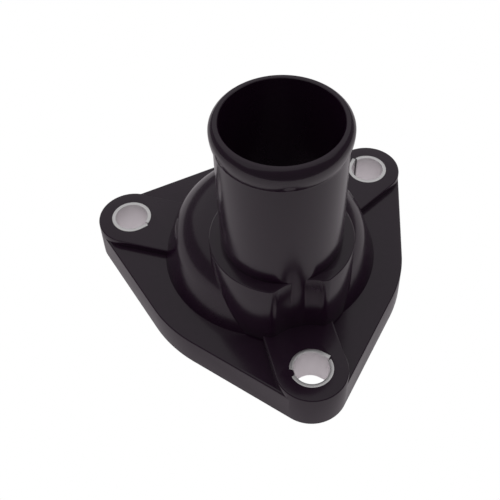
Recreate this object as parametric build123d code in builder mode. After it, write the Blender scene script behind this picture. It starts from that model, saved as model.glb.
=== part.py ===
from build123d import *

import os
from math import atan, cos, degrees, hypot, radians, sin, tan

# Coolant outlet flange, in millimetres: a moulded plastic cover with a hose neck,
# a rolled metal sleeve in each of its bolt holes and a seal in its mating face.
# The mating face lies on the XY plane, with the bolt circle centred on the origin.
# The neck rises along +Z, and the front bolt, the one nearest the neck, is on -Y.

# Bolt holes and the rolled strips that line them; a seam's angle is seen from its hole
bolt_count = 3
bolt_circle_radius = 40.5
sleeve_radius = 5.5
sleeve_wall = 1.0
sleeve_stand = 0.1
seam_straight = 2.4
seam_gap = 0.25
front_seam_angle = 19.0
right_seam_angle = 115.0
left_seam_angle = -46.0

# Round key of plastic that fills a notch in the front sleeve's top edge
key_radius = 1.05
key_depth = 1.5

# Plate with a bulge on each side, and pads that run from the bolts into the dome
plate_height = 9.0
pad_step = 2.0
bulge_radius = 36.4
lobe_wall = 3.9
side_draft = 0.8
pad_edge = 0.35

# Dome over the coolant chamber
dome_radius = 28.6
dome_rise = 17.7
dome_slope = 18.0
dome_shoulder = 12.5
shell_wall = 2.7
chamber_corner = 5.0

# Collar round the neck's root, cut away round the front bolt's head as deep as the neck's wall
collar_radius = 18.1
collar_rise = 3.3
collar_edge = 0.4
scoop_bite = 0.2
scoop_corner = 2.5

# Hose neck with a bead below its rim
neck_offset = 12.8
neck_length = 38.0
neck_radius = 15.2
neck_wall = 2.2
bead_stand = 0.8
bead_length = 6.3
rim_round = 1.9
mouth_edge = 0.6

# Seal and its groove in the mating face, a wall's thickness inside the sleeves
groove_wall = 2.6
groove_width = 4.0
groove_depth = 2.8
seal_side_clearance = 0.2

# Sizes that follow from the ones above
pad_top = plate_height + pad_step
dome_top = plate_height + dome_rise
collar_top = dome_top + collar_rise
rim_height = collar_top + neck_length
bore_radius = neck_radius - neck_wall
bead_radius = neck_radius + bead_stand
lobe_radius = sleeve_radius + lobe_wall
sleeve_bore_radius = sleeve_radius - sleeve_wall
chamber_radius = dome_radius - shell_wall
chamber_top = dome_top - shell_wall
scoop_radius = bolt_circle_radius - neck_offset - neck_radius + scoop_bite
seal_radius = bolt_circle_radius - sleeve_radius - groove_wall - groove_width / 2
front_angle = -90.0
right_angle = front_angle + 360.0 / bolt_count
left_angle = right_angle + 360.0 / bolt_count
neck_place = (0, -neck_offset)
neck_plane = Plane(origin=(0, -neck_offset, 0), x_dir=(1, 0, 0), z_dir=(0, -1, 0))
neck_axis = Axis((0, -neck_offset, 0), (0, 0, 1))

# Each sleeve's bolt angle, its seam's angle, and the way round that its strip is bent
sleeves = {
    "sleeve_front": (front_angle, front_seam_angle, 1),
    "sleeve_right": (right_angle, right_seam_angle, 1),
    "sleeve_left": (left_angle, left_seam_angle, -1),
}


def drafted(base_radius, height):
    """Radius of a drafted side wall, at a height above the mating face."""
    return base_radius - height * tan(radians(side_draft))


def sloped(base_radius, rise):
    """Radius of a wall that leans in with the dome's slope, at a height above its base."""
    return base_radius - rise * tan(radians(dome_slope))


def bolt_place(angle):
    """Centre of a bolt hole on the mating face, from its angle round the bolt circle."""
    return Vector(bolt_circle_radius * cos(radians(angle)), bolt_circle_radius * sin(radians(angle)), 0)


def sleeve_strip(bolt_angle, seam_angle, turn):
    """Plan of a sleeve: a strip bent into a ring, whose last stretch is left straight."""
    strip_radius = sleeve_radius - sleeve_wall / 2
    straight_angle = degrees(atan(seam_straight / strip_radius))
    overlap_angle = degrees(atan(seam_straight / sleeve_bore_radius)) - straight_angle
    gap_angle = overlap_angle + degrees(seam_gap / strip_radius)
    bend_angle = 360 - straight_angle - gap_angle
    seam_way = (cos(radians(seam_angle)), sin(radians(seam_angle)), 0)
    with BuildSketch(Plane(origin=bolt_place(bolt_angle), x_dir=seam_way, z_dir=(0, 0, 1))) as strip:
        with BuildLine():
            bend = CenterArc((0, 0), strip_radius, turn * straight_angle, turn * bend_angle)
            Line(bend @ 0, (hypot(strip_radius, seam_straight), 0))
        trace(line_width=sleeve_wall)
    return strip.sketch


os.makedirs("parts", exist_ok=True)

# Outline of the plate at the mating face: one hull round the bulge circle and the lobes
with BuildSketch() as plate_outline:
    with BuildLine():
        CenterArc((0, 0), bulge_radius, 0, 360)
        for angle in (front_angle, right_angle, left_angle):
            CenterArc(bolt_place(angle), lobe_radius, 0, 360)
    make_hull()

with BuildPart() as flange_body:
    # Plate, a little narrower at the top, as its mould needs
    extrude(plate_outline.sketch, amount=plate_height)
    draft(flange_body.faces().filter_by(Plane.XY, reverse=True), Plane.XY, side_draft)
    # Pads: each lobe rises above the plate and runs straight into the dome
    with BuildSketch(Plane.XY.offset(plate_height)):
        with PolarLocations(bolt_circle_radius / 2, bolt_count, start_angle=front_angle):
            SlotCenterToCenter(bolt_circle_radius, 2 * drafted(lobe_radius, plate_height))
    extrude(amount=pad_step, taper=side_draft)
    # Dome, with a rounded shoulder below its flat top
    with BuildSketch(Plane.XZ) as dome_section:
        with BuildLine():
            Polyline(
                (0, plate_height),
                (dome_radius, plate_height),
                (sloped(dome_radius, dome_rise), dome_top),
                (0, dome_top),
                close=True,
            )
        make_face()
        fillet(dome_section.vertices().group_by(Axis.Y)[-1].sort_by(Axis.X)[-1], dome_shoulder)
    revolve(axis=Axis.Z)
    # Collar, standing through the dome's shoulder
    with BuildSketch(Plane.XY.offset(plate_height)):
        with Locations(neck_place):
            Circle(collar_radius)
    extrude(amount=collar_top - plate_height)
    # Round clearance for the front bolt's head, cut through the collar down to the pad
    with BuildSketch(Plane.XY.offset(pad_top)):
        with Locations(bolt_place(front_angle)):
            Circle(scoop_radius)
    extrude(amount=collar_top - pad_top, mode=Mode.SUBTRACT)
    scoop_corners = flange_body.edges().filter_by(Axis.Z).filter_by_position(Axis.Z, pad_top, collar_top)
    fillet(scoop_corners, scoop_corner)
    chamfer(flange_body.edges().group_by(Axis.Z)[-1], collar_edge)
    # Rims of the pads: their straight sides and the half rounds about the bolts
    pad_edges = flange_body.edges().filter_by_position(Axis.Z, pad_top, pad_top)
    pad_sides = pad_edges.filter_by(GeomType.LINE)
    pad_ends = pad_edges.sort_by(SortBy.LENGTH)[-bolt_count:]
    chamfer(pad_sides + pad_ends, pad_edge)
    # Neck, with a round lip that swells into the bead and falls back to the neck
    with BuildSketch(neck_plane):
        with BuildLine():
            rim_edge = (bead_radius - rim_round, rim_height)
            bead_crest = (bead_radius, rim_height - rim_round)
            bead_foot = (neck_radius, rim_height - bead_length)
            RadiusArc(rim_edge, bead_crest, rim_round)
            TangentArc(bead_crest, bead_foot, tangent=(0, -1))
            Polyline(bead_foot, (neck_radius, plate_height), (0, plate_height), (0, rim_height), rim_edge)
        make_face()
    revolve(axis=neck_axis)
    # Coolant chamber under the dome
    with BuildSketch(Plane.XZ) as chamber_section:
        with BuildLine():
            Polyline(
                (0, 0),
                (chamber_radius, 0),
                (chamber_radius, plate_height),
                (sloped(chamber_radius, chamber_top - plate_height), chamber_top),
                (0, chamber_top),
                close=True,
            )
        make_face()
        chamfer(chamber_section.vertices().group_by(Axis.Y)[-1].sort_by(Axis.X)[-1], chamber_corner)
    revolve(axis=Axis.Z, mode=Mode.SUBTRACT)
    # Bore of the neck, with a bevelled mouth
    with BuildSketch(Plane.XY.offset(plate_height)):
        with Locations(neck_place):
            Circle(bore_radius)
    extrude(amount=rim_height - plate_height, mode=Mode.SUBTRACT)
    mouth = flange_body.edges().group_by(Axis.Z)[-1].sort_by(SortBy.LENGTH)[0]
    chamfer(mouth, mouth_edge)
    # Groove for the seal
    with BuildSketch():
        Circle(seal_radius + groove_width / 2)
        Circle(seal_radius - groove_width / 2, mode=Mode.SUBTRACT)
    extrude(amount=groove_depth, mode=Mode.SUBTRACT)
    # Bolt holes, each of the shape of the strip that it is moulded round
    for bolt_angle, seam_angle, turn in sleeves.values():
        with BuildSketch():
            with Locations(bolt_place(bolt_angle)):
                Circle(sleeve_radius)
            add(sleeve_strip(bolt_angle, seam_angle, turn))
        extrude(amount=pad_top, mode=Mode.SUBTRACT)
    # Key in the front sleeve's notch, its face level with the inside of the sleeve
    with BuildSketch(Plane.XY.offset(pad_top)):
        with Locations(bolt_place(front_angle)):
            with Locations((-sleeve_radius, 0)):
                Circle(key_radius)
            Circle(sleeve_bore_radius, mode=Mode.SUBTRACT)
    extrude(amount=-key_depth)
flange_body.part.label = "flange_body"
export_step(flange_body.part, "parts/flange_body.step")

# Rolled sleeves, each from the mating face to just above its pad
for sleeve_name, (bolt_angle, seam_angle, turn) in sleeves.items():
    with BuildPart() as sleeve:
        extrude(sleeve_strip(bolt_angle, seam_angle, turn), amount=pad_top + sleeve_stand)
        if bolt_angle == front_angle:
            with BuildSketch(Plane.XY.offset(pad_top - key_depth)):
                with Locations(bolt_place(front_angle)):
                    with Locations((-sleeve_radius, 0)):
                        Circle(key_radius)
            extrude(amount=key_depth + sleeve_stand, mode=Mode.SUBTRACT)
    sleeve.part.label = sleeve_name
    export_step(sleeve.part, "parts/" + sleeve_name + ".step")

# Seal, lying in its groove and level with the mating face
with BuildPart() as seal_ring:
    with BuildSketch():
        Circle(seal_radius + groove_width / 2 - seal_side_clearance)
        Circle(seal_radius - groove_width / 2 + seal_side_clearance, mode=Mode.SUBTRACT)
    extrude(amount=groove_depth)
seal_ring.part.label = "seal_ring"
export_step(seal_ring.part, "parts/seal_ring.step")
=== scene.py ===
import bpy
import math
from mathutils import Matrix, Vector


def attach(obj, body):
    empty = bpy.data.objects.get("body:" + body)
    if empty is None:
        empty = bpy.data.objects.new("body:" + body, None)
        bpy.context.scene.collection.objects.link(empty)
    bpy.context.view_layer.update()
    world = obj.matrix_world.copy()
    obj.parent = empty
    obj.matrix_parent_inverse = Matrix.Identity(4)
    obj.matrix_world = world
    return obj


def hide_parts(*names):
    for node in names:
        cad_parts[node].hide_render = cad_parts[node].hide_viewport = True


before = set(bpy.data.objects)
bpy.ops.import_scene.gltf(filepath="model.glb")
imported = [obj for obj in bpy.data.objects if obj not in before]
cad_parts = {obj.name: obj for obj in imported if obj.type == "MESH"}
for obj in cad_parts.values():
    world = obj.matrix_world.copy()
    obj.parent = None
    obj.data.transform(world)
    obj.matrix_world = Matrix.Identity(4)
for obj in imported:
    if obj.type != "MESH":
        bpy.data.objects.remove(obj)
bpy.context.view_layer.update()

# Plate of the cover: glass-filled nylon, injection moulded in one piece with all that stands
# on it. A lobe surrounds each of its three bolts, and a bulge fills the space between them. Its
# sides lean in a little, so that it leaves the mould, and the rim of its top is slightly round.
plate_height = 0.009
side_draft = math.radians(0.8)
bolt_circle_radius = 0.0405
bolt_angles = {"front": math.radians(-90), "right": math.radians(30), "left": math.radians(150)}
lobe_radius = 0.0094
bulge_radius = 0.0364
plate_edge_round = 0.0006
edge_round_steps = 3
fine_sides = 256
flat_enough = math.radians(0.05)
same_height = 1e-6
# Sides that would lie exactly on each other are kept apart by this much.
flush_step = 0.00002


def only(obj):
    """Leaves one object selected and active, and nothing else."""
    bpy.ops.object.select_all(action="DESELECT")
    obj.select_set(True)
    bpy.context.view_layer.objects.active = obj


def bolt_place(name):
    """Centre of a bolt hole on the mating face."""
    angle = bolt_angles[name]
    return Vector((bolt_circle_radius * math.cos(angle), bolt_circle_radius * math.sin(angle), 0))


def turned(place, rings, sides=fine_sides):
    """Round solid about an upright line, drawn up from a disc through rings of radius and height."""
    radius, height = rings[0]
    centre = Vector((place[0], place[1], height))
    bpy.ops.object.select_all(action="DESELECT")
    bpy.ops.mesh.primitive_circle_add(vertices=sides, radius=radius, fill_type="NGON", location=centre)
    bpy.ops.object.transform_apply(location=True, rotation=True, scale=True)
    bpy.ops.object.mode_set(mode="EDIT")
    bpy.ops.mesh.select_all(action="SELECT")
    for next_radius, next_height in rings[1:]:
        rise = next_height - height
        bpy.ops.mesh.extrude_region_move(TRANSFORM_OT_translate={"value": (0, 0, rise)})
        centre.z = next_height
        grow = next_radius / radius
        bpy.ops.transform.resize(value=(grow, grow, 1), center_override=centre)
        radius, height = next_radius, next_height
    bpy.ops.mesh.select_all(action="SELECT")
    bpy.ops.mesh.normals_make_consistent(inside=False)
    bpy.ops.object.mode_set(mode="OBJECT")
    return bpy.context.object


def drafted(place, radius, low, high):
    """Round solid whose side leans in from the radius that it has at the mating face."""
    return turned(place, [(radius - height * math.tan(side_draft), height) for height in (low, high)])


def wrapped(solids):
    """One solid with flat sides, wrapped tightly round several round ones."""
    only(solids[0])
    for solid in solids[1:]:
        solid.select_set(True)
    bpy.ops.object.join()
    bpy.ops.object.mode_set(mode="EDIT")
    bpy.ops.mesh.select_all(action="SELECT")
    bpy.ops.mesh.convex_hull(use_existing_faces=False)
    bpy.ops.mesh.dissolve_limited(angle_limit=flat_enough)
    bpy.ops.object.mode_set(mode="OBJECT")
    return bpy.context.object


def round_top(solid, width):
    """Rounds the rim of a solid's top face."""
    only(solid)
    mesh = solid.data
    top = max(vertex.co.z for vertex in mesh.vertices)
    bpy.ops.object.mode_set(mode="EDIT")
    bpy.ops.mesh.select_mode(type="EDGE")
    bpy.ops.mesh.select_all(action="DESELECT")
    bpy.ops.object.mode_set(mode="OBJECT")
    for edge in mesh.edges:
        ends = [mesh.vertices[index].co for index in edge.vertices]
        edge.select = all(abs(end.z - top) < same_height for end in ends)
    bpy.ops.object.mode_set(mode="EDIT")
    bpy.ops.mesh.bevel(offset=width, offset_type="OFFSET", segments=edge_round_steps, clamp_overlap=False)
    bpy.ops.object.mode_set(mode="OBJECT")


def combine(solid, tool, operation):
    """Adds a tool solid to another or cuts it away, and uses the tool up."""
    only(solid)
    modifier = solid.modifiers.new("combine", "BOOLEAN")
    modifier.solver = "EXACT"
    modifier.operation = operation
    modifier.object = tool
    bpy.ops.object.modifier_apply(modifier=modifier.name)
    bpy.data.objects.remove(tool)


lobes = [drafted(bolt_place(name), lobe_radius - flush_step, 0, plate_height) for name in bolt_angles]
cover = wrapped([drafted((0, 0), bulge_radius, 0, plate_height)] + lobes)
cover.name = "moulded_cover"
round_top(cover, plate_edge_round)

# Pads of the cover: a raised, flat-topped seat round each bolt that runs straight into the
# dome, moulded with the plate. The bolts' flanges press on them.
pad_top = 0.011
pad_edge_round = 0.0005
pad_root = 0.001
pad_start = 0.012
for name in bolt_angles:
    inner_place = bolt_place(name) * (pad_start / bolt_circle_radius)
    pad = wrapped([drafted(place, lobe_radius, pad_root, pad_top)
                   for place in (inner_place, bolt_place(name))])
    round_top(pad, pad_edge_round)
    combine(cover, pad, "UNION")

# Dome of the cover: it stands over the coolant chamber and is moulded with the plate. Its side
# is a cone, and a wide round shoulder runs from that up to its top.
dome_radius = 0.0286
dome_slope = math.radians(18)
dome_top = 0.0267
dome_root = 0.001
shoulder_radius = 0.0125
shoulder_steps = 24
shoulder_centre_height = dome_top - shoulder_radius
shoulder_centre_radius = (dome_radius - (shoulder_centre_height - plate_height) * math.tan(dome_slope)
                          - shoulder_radius / math.cos(dome_slope))
dome_rings = [(dome_radius + dome_root * math.tan(dome_slope), plate_height - dome_root)]
for step in range(shoulder_steps + 1):
    lean = dome_slope + (math.radians(90) - dome_slope) * step / shoulder_steps
    dome_rings.append((shoulder_centre_radius + shoulder_radius * math.cos(lean),
                       shoulder_centre_height + shoulder_radius * math.sin(lean)))
dome = turned((0, 0), dome_rings)

# Collar round the neck's root, moulded with the dome and higher than it. A round clearance for
# the head of the front bolt cuts it away about as deep as the neck's wall, and its upright
# corners are well rounded.
neck_place = Vector((0, -0.0128, 0))
collar_radius = 0.0181
collar_top = 0.030
collar_foot = 0.0095
collar_edge_round = 0.0004
scoop_radius = 0.0127
scoop_overshoot = 0.005
corner_radius = 0.0025
# How far a cutting solid runs past the face that it cuts.
overshoot = 0.001
collar = turned(neck_place, [(collar_radius, collar_foot), (collar_radius, collar_top)])
combine(dome, collar, "UNION")
scoop_place = bolt_place("front")
scoop_height = collar_top + scoop_overshoot
from_collar = collar_radius - corner_radius
from_scoop = scoop_radius + corner_radius
apart = neck_place.y - scoop_place.y
along = (from_collar ** 2 - from_scoop ** 2 + apart ** 2) / (2 * apart)
corner_x = math.sqrt(from_collar ** 2 - along ** 2)
corner_y = neck_place.y - along
scoop_touch_x = corner_x * scoop_radius / from_scoop
collar_touch_x = corner_x * collar_radius / from_collar
scoop = turned(scoop_place, [(scoop_radius, pad_top), (scoop_radius, scoop_height)])
for side in (-1, 1):
    corner_middle = (side * (scoop_touch_x + collar_touch_x) / 2, corner_y - scoop_radius / 2,
                     (pad_top + scoop_height) / 2)
    bpy.ops.object.select_all(action="DESELECT")
    bpy.ops.mesh.primitive_cube_add(size=1, location=corner_middle)
    corner = bpy.context.object
    corner.scale = (collar_touch_x - scoop_touch_x, scoop_radius, scoop_height - pad_top)
    bpy.ops.object.transform_apply(location=True, rotation=True, scale=True)
    rounding = turned((side * corner_x, corner_y),
                      [(corner_radius, 0), (corner_radius, scoop_height + overshoot)])
    combine(corner, rounding, "DIFFERENCE")
    combine(scoop, corner, "UNION")
combine(dome, scoop, "DIFFERENCE")
round_top(dome, collar_edge_round)
combine(cover, dome, "UNION")

# Hose neck: a plain tube moulded with the collar, with a low bead near its end that holds the
# hose behind a clamp. The bead has a round crest and a long curved underside, which meets the
# neck in a crease, and its rim is flat.
bore_radius = 0.013
neck_radius = 0.0152
rim_height = 0.068
rim_flat_radius = 0.0145
rim_round = 0.0007
bead_radius = 0.016
bead_length = 0.0063
bead_crest_round = 0.0025
crest_arc_end = math.radians(50)
arc_steps = 6
underside_steps = 8
# Extra rings close to the collar and the crease keep the shading of the plain tube even.
neck_ring_rise = 0.0002
crease_width = 0.00015
bead_foot = rim_height - bead_length
crest_arc_radius = bead_radius - bead_crest_round * (1 - math.cos(crest_arc_end))
rim_arc_radius = rim_flat_radius + rim_round * math.cos(crest_arc_end)
lead_in_drop = (crest_arc_radius - rim_arc_radius) / math.tan(crest_arc_end)
crest_height = (rim_height - rim_round * (1 - math.sin(crest_arc_end)) - lead_in_drop
                - bead_crest_round * math.sin(crest_arc_end))
underside_rise = crest_height - bead_foot
underside_stand = bead_radius - neck_radius
underside_round = (underside_rise ** 2 + underside_stand ** 2) / (2 * underside_stand)
neck_rings = [(neck_radius, pad_top), (neck_radius, collar_top + neck_ring_rise),
              (neck_radius, bead_foot - 2 * crease_width), (neck_radius, bead_foot - crease_width),
              (neck_radius, bead_foot)]
drops = [underside_rise * (1 - step / underside_steps) for step in range(1, underside_steps + 1)]
for below_crest in [underside_rise - crease_width] + drops:
    reach = math.sqrt(underside_round ** 2 - below_crest ** 2)
    neck_rings.append((bead_radius - underside_round + reach, crest_height - below_crest))
for step in range(1, arc_steps + 1):
    lean = crest_arc_end * step / arc_steps
    neck_rings.append((bead_radius - bead_crest_round + bead_crest_round * math.cos(lean),
                       crest_height + bead_crest_round * math.sin(lean)))
for step in range(arc_steps + 1):
    lean = crest_arc_end + (math.radians(90) - crest_arc_end) * step / arc_steps
    neck_rings.append((rim_flat_radius + rim_round * math.cos(lean),
                       rim_height - rim_round + rim_round * math.sin(lean)))
neck = turned(neck_place, neck_rings)
combine(cover, neck, "UNION")

# Hollow of the cover: a chamber under the dome, left by the mould's core, and the neck's bore
# that runs up out of it. The bore widens to its mouth, so that its long core pin can be drawn.
chamber_radius = 0.0259
chamber_top = 0.024
chamber_corner = 0.005
mouth_radius = 0.0139
mouth_edge = 0.00015
cone_top_radius = chamber_radius - (chamber_top - plate_height) * math.tan(dome_slope)
chamber = turned((0, 0), [
    (chamber_radius, -overshoot),
    (chamber_radius, plate_height),
    (cone_top_radius + chamber_corner * math.sin(dome_slope),
     chamber_top - chamber_corner * math.cos(dome_slope)),
    (cone_top_radius - chamber_corner, chamber_top),
])
bore = turned(neck_place, [
    (bore_radius, plate_height),
    (mouth_radius - mouth_edge, rim_height - mouth_edge),
    (mouth_radius, rim_height),
    (mouth_radius, rim_height + overshoot),
])
combine(cover, chamber, "DIFFERENCE")
combine(cover, bore, "DIFFERENCE")

# Groove for the seal: a square channel moulded into the mating face, between the chamber and
# the bolts, which holds the rubber ring while the cover is bolted on.
seal_radius = 0.0304
groove_width = 0.004
groove_depth = 0.0028
groove_outside = seal_radius + groove_width / 2
groove_inside = seal_radius - groove_width / 2
groove = turned((0, 0), [(groove_outside, -overshoot), (groove_outside, groove_depth)])
core = turned((0, 0), [(groove_inside, -2 * overshoot), (groove_inside, groove_depth + overshoot)])
combine(groove, core, "DIFFERENCE")
combine(cover, groove, "DIFFERENCE")

# Seats of the sleeves: the plastic is moulded round each sleeve, up against its outside and
# the straight end of its strip, and fills the notch in the front sleeve's top edge.
sleeve_radius = 0.0055
sleeve_wall = 0.001
sleeve_top = 0.0111
seam_straight = 0.0024
seam_gap = 0.00025
seam_angles = {"front": math.radians(19), "right": math.radians(115), "left": math.radians(-46)}
bend_ways = {"front": 1, "right": 1, "left": -1}
strip_radius = sleeve_radius - sleeve_wall / 2
sleeve_bore_radius = sleeve_radius - sleeve_wall
seat_radius = sleeve_radius - flush_step
key_radius = 0.00105
key_depth = 0.0015
key_sides = 64
strip_steps = 120
merge_distance = 1e-7


def rolled_strip(name, low, high):
    """Upright strip bent almost full circle round a bolt hole, its last stretch left straight."""
    centre = bolt_place(name)
    straight_angle = math.atan(seam_straight / strip_radius)
    overlap_angle = math.atan(seam_straight / sleeve_bore_radius) - straight_angle
    bend_angle = 2 * math.pi - straight_angle - overlap_angle - seam_gap / strip_radius
    start = seam_angles[name] + bend_ways[name] * straight_angle
    outward = Vector((math.cos(start), math.sin(start), 0))
    along_strip = Vector((math.sin(start), -math.cos(start), 0)) * bend_ways[name]
    bend_start = centre + outward * strip_radius + Vector((0, 0, (low + high) / 2))
    bpy.ops.object.select_all(action="DESELECT")
    bpy.ops.mesh.primitive_plane_add(size=1, location=bend_start, rotation=(math.radians(90), 0, start))
    strip = bpy.context.object
    strip.scale = (sleeve_wall, high - low, 1)
    bpy.ops.object.transform_apply(location=True, rotation=True, scale=True)
    bpy.ops.object.mode_set(mode="EDIT")
    bpy.ops.mesh.select_all(action="SELECT")
    bpy.ops.mesh.extrude_region_move(TRANSFORM_OT_translate={"value": along_strip * seam_straight})
    bpy.ops.mesh.select_all(action="DESELECT")
    bpy.ops.object.mode_set(mode="OBJECT")
    # Only the face at the start of the bend is picked and spun round the hole. A positive angle
    # would spin it clockwise, seen from above, so the angle's sign is turned round.
    for face in strip.data.polygons:
        face.select = (face.center - bend_start).length < sleeve_wall / 10
    bpy.ops.object.mode_set(mode="EDIT")
    bpy.ops.mesh.spin(steps=strip_steps, angle=-bend_angle * bend_ways[name], center=centre, axis=(0, 0, 1))
    bpy.ops.mesh.select_all(action="SELECT")
    bpy.ops.mesh.remove_doubles(threshold=merge_distance)
    bpy.ops.mesh.normals_make_consistent(inside=False)
    bpy.ops.object.mode_set(mode="OBJECT")
    return strip


for name in bolt_angles:
    seat = turned(bolt_place(name), [(seat_radius, -overshoot), (seat_radius, pad_top + overshoot)])
    combine(cover, seat, "DIFFERENCE")
    combine(cover, rolled_strip(name, -overshoot, pad_top + overshoot), "DIFFERENCE")
key_place = bolt_place("front") + Vector((-sleeve_radius, 0, 0))
key = turned(key_place, [(key_radius, pad_top - key_depth), (key_radius, pad_top)], key_sides)
inside = turned(bolt_place("front"), [(sleeve_bore_radius, 0), (sleeve_bore_radius, sleeve_top + overshoot)])
combine(key, inside, "DIFFERENCE")
combine(cover, key, "UNION")

# Finish of the moulded cover: black nylon filled with glass fibre, from a smooth steel mould.
# That gives it a soft gloss that mirrors the table, with faint swirls where the fibres lie
# under the skin. The grain of the skin is drawn coarser than it is, or it wouldn't show.
skin_colour = "#291529"
fibre_colour = "#301a2f"
nylon_ior = 1.53
nylon_roughness = (0.16, 0.21)
swirl_size = 0.004
swirl_detail = 3.0
swirl_distortion = 1.5
skin_grain = 0.0006
grain_detail = 2.0
grain_strength = 0.3
grain_height = 0.000002
smooth_angle = math.radians(24)


def linear(hex_colour):
    """Linear colour that a shader takes, from sRGB hex text."""
    channels = [int(hex_colour[start:start + 2], 16) / 255 for start in (1, 3, 5)]
    return [c / 12.92 if c <= 0.04045 else ((c + 0.055) / 1.055) ** 2.4 for c in channels] + [1]


def new_material(name):
    """Empty node material."""
    material = bpy.data.materials.new(name)
    material.use_nodes = True
    material.node_tree.nodes.clear()
    return material


def add_node(material, kind, inputs, **settings):
    """Adds a shader node with its settings, and sets or links its inputs."""
    node = material.node_tree.nodes.new(kind)
    for name, value in settings.items():
        setattr(node, name, value)
    for name, value in inputs.items():
        if isinstance(value, bpy.types.NodeSocket):
            material.node_tree.links.new(value, node.inputs[name])
        else:
            node.inputs[name].default_value = value
    return node


def finish_piece(piece, material, slot, *nodes):
    """Gives a finished piece its material and smooth shading, hangs it under the root, and hides the CAD
    nodes that it stands for.
    """
    piece.data.materials.clear()
    piece.data.materials.append(material)
    only(piece)
    bpy.ops.object.shade_smooth_by_angle(angle=smooth_angle)
    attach(piece, "root")
    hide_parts(*nodes)


nylon = new_material("moulded_glass_filled_nylon")
place = add_node(nylon, "ShaderNodeTexCoord", {}).outputs["Object"]
swirl = add_node(nylon, "ShaderNodeTexNoise", {
    "Vector": place, "Scale": 1 / swirl_size, "Detail": swirl_detail,
    "Distortion": swirl_distortion}).outputs["Fac"]
grain = add_node(nylon, "ShaderNodeTexNoise", {
    "Vector": place, "Scale": 1 / skin_grain, "Detail": grain_detail}).outputs["Fac"]
colour = add_node(nylon, "ShaderNodeMix", {
    "Factor": swirl, "A": linear(skin_colour), "B": linear(fibre_colour)},
    data_type="RGBA").outputs["Result"]
gloss = add_node(nylon, "ShaderNodeMapRange", {
    "Value": swirl, "To Min": nylon_roughness[0], "To Max": nylon_roughness[1]}).outputs["Result"]
bump = add_node(nylon, "ShaderNodeBump", {
    "Height": grain, "Strength": grain_strength, "Distance": grain_height}).outputs["Normal"]
shader = add_node(nylon, "ShaderNodeBsdfPrincipled", {
    "Base Color": colour, "Roughness": gloss, "Normal": bump, "IOR": nylon_ior})
add_node(nylon, "ShaderNodeOutputMaterial", {"Surface": shader.outputs["BSDF"]})
finish_piece(cover, nylon, "black_plastic", "flange_body")

# Sleeves: steel strip, zinc plated and rolled round until its ends almost meet, with deburred
# edges. They carry the bolts' load, so that the plastic isn't crushed. The plating gives a pale
# satin look, with fine lines along the strip from the rolls, drawn coarser than they really are.
deburr = 0.00008
sharp_edge_steps = 2
sharp_edge = math.radians(50)
steel_colour = "#fcfafb"
steel_roughness = (0.38, 0.52)
line_width = 0.00012
line_length = 1 / 60
line_detail = 3.0
line_strength = 0.4
line_height = 0.000003


def round_sharp_edges(piece, width, clamp):
    """Rounds all of a piece's sharp edges."""
    only(piece)
    rounding = piece.modifiers.new("rounded", "BEVEL")
    rounding.width = width
    rounding.segments = sharp_edge_steps
    rounding.limit_method = "ANGLE"
    rounding.angle_limit = sharp_edge
    rounding.use_clamp_overlap = clamp
    bpy.ops.object.modifier_apply(modifier=rounding.name)


steel = new_material("zinc_plated_rolled_steel")
place = add_node(steel, "ShaderNodeTexCoord", {}).outputs["Object"]
stretched = add_node(steel, "ShaderNodeMapping", {
    "Vector": place, "Scale": (1 / line_length, 1 / line_length, 1 / line_width)}).outputs["Vector"]
lines = add_node(steel, "ShaderNodeTexNoise", {
    "Vector": stretched, "Scale": 1.0, "Detail": line_detail}).outputs["Fac"]
gloss = add_node(steel, "ShaderNodeMapRange", {
    "Value": lines, "To Min": steel_roughness[0], "To Max": steel_roughness[1]}).outputs["Result"]
bump = add_node(steel, "ShaderNodeBump", {
    "Height": lines, "Strength": line_strength, "Distance": line_height}).outputs["Normal"]
shader = add_node(steel, "ShaderNodeBsdfPrincipled", {
    "Base Color": linear(steel_colour), "Roughness": gloss, "Normal": bump, "Metallic": 1.0})
add_node(steel, "ShaderNodeOutputMaterial", {"Surface": shader.outputs["BSDF"]})
for name in bolt_angles:
    sleeve = rolled_strip(name, 0, sleeve_top)
    sleeve.name = "rolled_sleeve_" + name
    if name == "front":
        notch = turned(key_place, [(key_radius, pad_top - key_depth),
                                   (key_radius, sleeve_top + overshoot)], key_sides)
        combine(sleeve, notch, "DIFFERENCE")
    round_sharp_edges(sleeve, deburr, clamp=False)
    finish_piece(sleeve, steel, "sleeve_steel", "sleeve_" + name)

# Seal: a square ring of black rubber, pressed in a mould, that lies in the groove of the mating
# face. Its surface is dull black, with a faint cloudy bloom.
seal_clearance = 0.0002
seal_edge_round = 0.0003
rubber_colour = "#141414"
rubber_ior = 1.52
rubber_roughness = (0.55, 0.75)
bloom_size = 0.002
bloom_detail = 4.0
seal_outside = groove_outside - seal_clearance
seal_inside = groove_inside + seal_clearance
seal = turned((0, 0), [(seal_outside, 0), (seal_outside, groove_depth)])
hole = turned((0, 0), [(seal_inside, -overshoot), (seal_inside, groove_depth + overshoot)])
combine(seal, hole, "DIFFERENCE")
seal.name = "rubber_seal"
round_sharp_edges(seal, seal_edge_round, clamp=True)
rubber = new_material("moulded_black_rubber")
place = add_node(rubber, "ShaderNodeTexCoord", {}).outputs["Object"]
bloom = add_node(rubber, "ShaderNodeTexNoise", {
    "Vector": place, "Scale": 1 / bloom_size, "Detail": bloom_detail}).outputs["Fac"]
dull = add_node(rubber, "ShaderNodeMapRange", {
    "Value": bloom, "To Min": rubber_roughness[0], "To Max": rubber_roughness[1]}).outputs["Result"]
shader = add_node(rubber, "ShaderNodeBsdfPrincipled", {
    "Base Color": linear(rubber_colour), "Roughness": dull, "IOR": rubber_ior})
add_node(rubber, "ShaderNodeOutputMaterial", {"Surface": shader.outputs["BSDF"]})
finish_piece(seal, rubber, "seal_rubber", "seal_ring")

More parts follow.
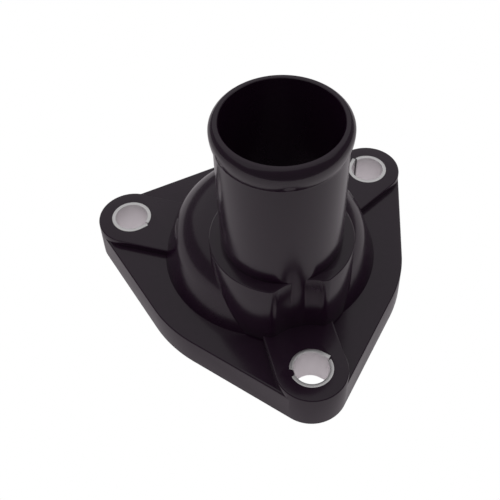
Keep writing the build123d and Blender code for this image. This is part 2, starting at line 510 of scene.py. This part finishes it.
# Camera: it looks down on the cover from the front, as far round and as high as in the
# photograph. Its place, in metres, and its turns were solved from the cover's holes and outline.
camera_place = (-0.03559, -0.14319, 0.19080)
camera_turn = math.radians(-11.865)
looks_down = math.radians(50.94)
camera_roll = math.radians(-2.69)
picture_width = 500
focal_pixels = 847.8
sensor_width = 36.0
camera_data = bpy.data.cameras.new("camera")
camera = bpy.data.objects.new("camera", camera_data)
bpy.context.scene.collection.objects.link(camera)
camera_data.sensor_width = sensor_width
camera_data.lens = focal_pixels / picture_width * sensor_width
camera.matrix_world = (Matrix.Translation(camera_place) @ Matrix.Rotation(camera_turn, 4, "Z")
                       @ Matrix.Rotation(math.radians(90) - looks_down, 4, "X")
                       @ Matrix.Rotation(camera_roll, 4, "Z"))
bpy.context.scene.camera = camera

# Table: a sheet of white acrylic, lit a little from inside, that the cover lies on and mirrors.
# It ends a few centimetres in front of the cover, so that the bead's front mirrors the dim room
# beyond it. The camera doesn't see it.
sheet_width = 1.2
sheet_length = 0.8
sheet_front = -0.1
sheet_colour = "#dcd6da"
sheet_roughness = 0.9
glow_colour = "#fff8fc"
glow_strength = 0.27
bpy.ops.object.select_all(action="DESELECT")
bpy.ops.mesh.primitive_plane_add(size=1, location=(0, sheet_front + sheet_length / 2, 0))
table = bpy.context.object
table.name = "table"
table.scale = (sheet_width, sheet_length, 1)
bpy.ops.object.transform_apply(location=True, rotation=True, scale=True)
acrylic = new_material("lit_white_acrylic")
shader = add_node(acrylic, "ShaderNodeBsdfPrincipled", {
    "Base Color": linear(sheet_colour), "Roughness": sheet_roughness,
    "Emission Color": linear(glow_colour), "Emission Strength": glow_strength})
add_node(acrylic, "ShaderNodeOutputMaterial", {"Surface": shader.outputs["BSDF"]})
table.data.materials.append(acrylic)
table.visible_camera = False

# Backdrop: in place of the table and the room, the camera sees a floor and a wall of evenly lit
# white paper, as in the photograph. It doesn't light the cover, which doesn't mirror it either.
backdrop_radius = 3.0
white = (1, 1, 1, 1)
bpy.ops.object.select_all(action="DESELECT")
bpy.ops.mesh.primitive_plane_add(size=2 * backdrop_radius, location=(0, 0, 0))
backdrop = bpy.context.object
backdrop.name = "backdrop"
bpy.ops.mesh.primitive_uv_sphere_add(radius=backdrop_radius, location=(0, 0, 0))
backdrop.select_set(True)
bpy.context.view_layer.objects.active = backdrop
bpy.ops.object.join()
paper = new_material("even_white_paper")
shader = add_node(paper, "ShaderNodeEmission", {"Color": white, "Strength": 1.0})
add_node(paper, "ShaderNodeOutputMaterial", {"Surface": shader.outputs["Emission"]})
backdrop.data.materials.append(paper)
backdrop.visible_diffuse = False
backdrop.visible_glossy = False
backdrop.visible_transmission = False
backdrop.visible_shadow = False

# Light: one large soft lamp hangs level over the table, mostly behind the cover, so that the
# flat tops mirror it. The rest of the room is dim.
lamp_place = (0, 1.35, 1.6)
lamp_size = 5.0
lamp_power = 27.0
room_brightness = 0.13
light = bpy.data.lights.new("overhead_box", "AREA")
light.size = lamp_size
light.energy = lamp_power
lamp = bpy.data.objects.new("overhead_box", light)
bpy.context.scene.collection.objects.link(lamp)
lamp.location = lamp_place
room = bpy.data.worlds.new("studio")
bpy.context.scene.world = room
room.use_nodes = True
room.node_tree.nodes["Background"].inputs["Color"].default_value = white
room.node_tree.nodes["Background"].inputs["Strength"].default_value = room_brightness
bpy.context.scene.view_settings.view_transform = "Standard"
